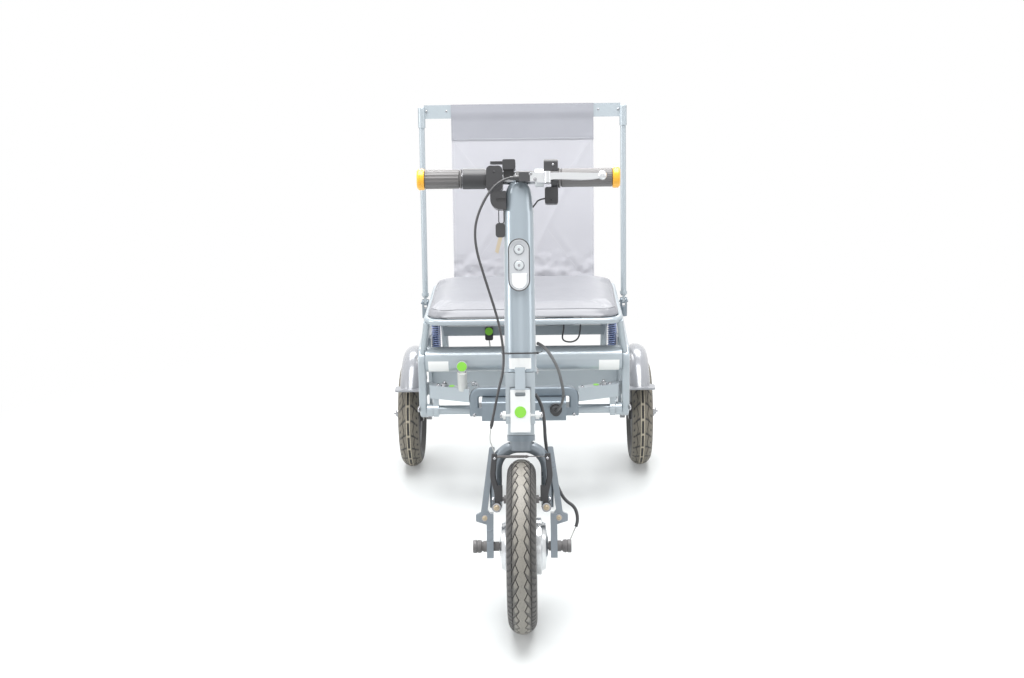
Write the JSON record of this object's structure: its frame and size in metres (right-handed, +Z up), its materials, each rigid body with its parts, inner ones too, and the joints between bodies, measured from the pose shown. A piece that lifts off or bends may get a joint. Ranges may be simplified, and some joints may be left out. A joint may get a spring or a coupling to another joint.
{
  "type": "folding mobility scooter",
  "caption": "Three-wheeled folding mobility scooter with a hub-motor front wheel, folding steering column, low cushioned seat and folding fabric backrest.",
  "frame": {"origin": "on the ground, at the middle of the bounding box", "axes": "+Z up; the scooter faces -Y, so +Y is the long way to the rear; +X is the rider's left"},
  "size_m": [0.612, 1.1342, 0.8474],
  "materials": {
    "frame_paint": "satin metallic steel blue",
    "dark_paint": "satin",
    "tyre": "matt",
    "alloy": "satin",
    "steel": "bright",
    "black_plastic": "matt",
    "guard_plastic": "gloss",
    "rubber": "matt",
    "amber_plastic": "gloss",
    "seat_vinyl": "vinyl, smooth",
    "back_cloth": "woven, matt",
    "blue_steel": "gloss blue",
    "lens": "clear",
    "cord": "matt",
    "white_plate": "gloss white"
  },
  "bodies": {
    "rear_frame": {"side_frame_left": "frame_paint", "side_frame_right": "frame_paint", "stub_axles": "steel", "cross_tube": "frame_paint", "pivot_bar": "frame_paint", "rear_beam": "frame_paint", "mudguard_left": "guard_plastic", "mudguard_right": "guard_plastic", "seat_frame": "frame_paint", "seat_cushion": "seat_vinyl", "seat_struts": "frame_paint", "under_bar": "frame_paint", "under_seat_latch": "black_plastic", "battery_box": "black_plastic", "seat_lead": "cord", "spring_cups": "dark_paint", "springs": "blue_steel", "back_hinges": "dark_paint"},
    "backrest": {"back_frame": "frame_paint", "back_fabric": "back_cloth"},
    "rear_wheel_left_body": {"rear_tyre_left": "tyre", "rear_wheel_left": "black_plastic"},
    "rear_wheel_right_body": {"rear_tyre_right": "tyre", "rear_wheel_right": "black_plastic"},
    "front_section": {"main_tube": "frame_paint", "pivot_box": "dark_paint", "fold_bow": "frame_paint", "brace_arms": "frame_paint", "fold_lever": "white_plate", "connector": "black_plastic", "harness": "cord"},
    "fork_assembly": {"fork": "frame_paint", "front_axle": "rubber", "head_race": "dark_paint", "brake_arms": "black_plastic", "brake_pads": "rubber", "hinge_base": "frame_paint", "latch_lever": "white_plate", "brake_cable_lower": "cord", "motor_cable": "cord"},
    "front_wheel": {"front_tyre": "tyre", "front_rim": "alloy", "spokes": "steel", "hub_motor": "alloy"},
    "steering_column": {"column": "frame_paint", "bar_clamp": "black_plastic", "handlebar": "steel", "grips": "rubber", "grip_caps": "amber_plastic", "throttle": "black_plastic", "display": "black_plastic", "ignition_lock": "black_plastic", "brake_lever": "alloy", "switch_pod": "black_plastic", "switch_lead": "cord", "headlight": "black_plastic", "headlight_lenses": "lens", "brake_cable_upper": "cord"}
  },
  "joints": [
    {"name": "frame_fold", "type": "hinge", "parent": "rear_frame", "child": "front_section", "pos_m": [0, 0.169, 0.222], "axis": [1, 0, 0], "range_deg": [0, 170]},
    {"name": "steering", "type": "hinge", "parent": "front_section", "child": "fork_assembly", "pos_m": [0, -0.35121, 0.37813], "axis": [0, 0.2588, 0.9659], "range_deg": [-42, 42]},
    {"name": "front_wheel_spin", "type": "hinge", "parent": "fork_assembly", "child": "front_wheel", "pos_m": [0, -0.411, 0.155], "axis": [1, 0, 0], "continuous": true},
    {"name": "column_fold", "type": "hinge", "parent": "fork_assembly", "child": "steering_column", "pos_m": [0, -0.29547, 0.44705], "axis": [-1, 0, 0], "range_deg": [0, 75]},
    {"name": "rear_left_spin", "type": "hinge", "parent": "rear_frame", "child": "rear_wheel_left_body", "pos_m": [0.2705, 0.439, 0.127], "axis": [1, 0, 0], "continuous": true},
    {"name": "rear_right_spin", "type": "hinge", "parent": "rear_frame", "child": "rear_wheel_right_body", "pos_m": [-0.2705, 0.439, 0.127], "axis": [1, 0, 0], "continuous": true},
    {"name": "backrest_fold", "type": "hinge", "parent": "rear_frame", "child": "backrest", "pos_m": [0, 0.465, 0.391], "axis": [1, 0, 0], "range_deg": [0, 96], "deforming": ["back_fabric"]}
  ]
}
